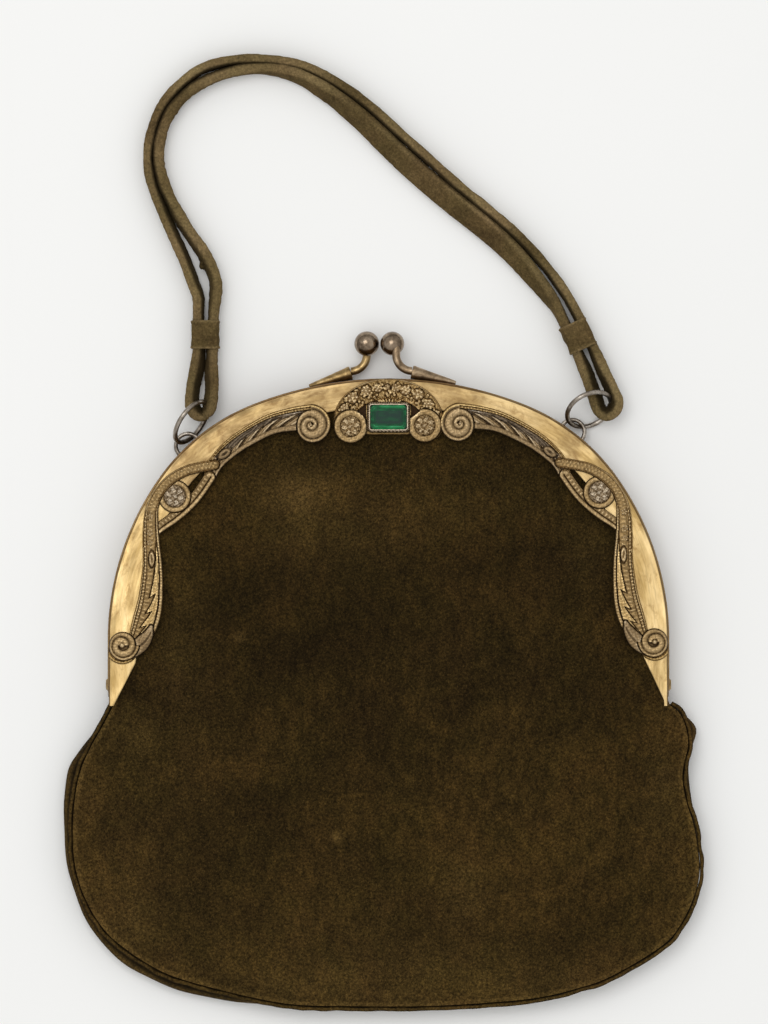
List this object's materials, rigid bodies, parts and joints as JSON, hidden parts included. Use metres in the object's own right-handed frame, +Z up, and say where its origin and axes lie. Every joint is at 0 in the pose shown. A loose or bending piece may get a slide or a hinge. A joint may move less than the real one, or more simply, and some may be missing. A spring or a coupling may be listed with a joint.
{
  "type": "frame purse",
  "caption": "Suede purse on an arched gilt frame with cast scroll mounts, a green stone, a ball clasp and a folded strap on rings. It lies on its back and opens at hinges in the frame.",
  "frame": {"origin": "middle of the purse's box on the table, without the strap", "axes": "+X across the purse to the viewer's right, +Y from its base to its clasp, +Z up from the table through its front"},
  "size_m": [0.199, 0.2987, 0.019],
  "materials": {
    "gilt": "gilt, brushed and worn",
    "bronze": "cast, dark in the recesses, rubbed on the high points",
    "ball_metal": "dull dark plate",
    "ring_metal": "tarnished nickel plate",
    "stone": "step-cut green glass",
    "bag_suede": "napped suede",
    "strap_suede": "worn napped suede",
    "lining": "woven cloth"
  },
  "bodies": {
    "back": {"back_frame": "gilt", "left_hinge_rivet": "gilt", "right_hinge_rivet": "gilt", "back_clasp_ferrule": "bronze", "back_clasp_arm": "bronze", "back_clasp_ball": "ball_metal", "left_ear": "ring_metal", "right_ear": "ring_metal", "front_panel": "bag_suede", "back_panel": "bag_suede", "gusset": "bag_suede", "front_lining": "lining", "back_lining": "lining"},
    "front": {"front_frame": "gilt", "left_scroll_mount": "bronze", "right_scroll_mount": "bronze", "centre_mount": "bronze", "stone_bezel": "bronze", "green_stone": "stone", "front_clasp_ferrule": "bronze", "front_clasp_arm": "bronze", "front_clasp_ball": "ball_metal"},
    "handle": {"left_ring": "ring_metal", "right_ring": "ring_metal", "strap": "strap_suede", "left_keeper": "strap_suede", "right_keeper": "strap_suede"}
  },
  "joints": [
    {"name": "frame_hinge", "type": "hinge", "parent": "back", "child": "front", "pos_m": [0, -0.00415, 0.0065], "axis": [1, 0, 0], "range_deg": [0, 70], "deforming": ["front_panel", "front_lining"]},
    {"name": "handle_swing", "type": "hinge", "parent": "back", "child": "handle", "pos_m": [-0.06277, 0.07431, 0.0036], "axis": [0.9993, 0.0361, 0], "range_deg": [0, 25]}
  ]
}
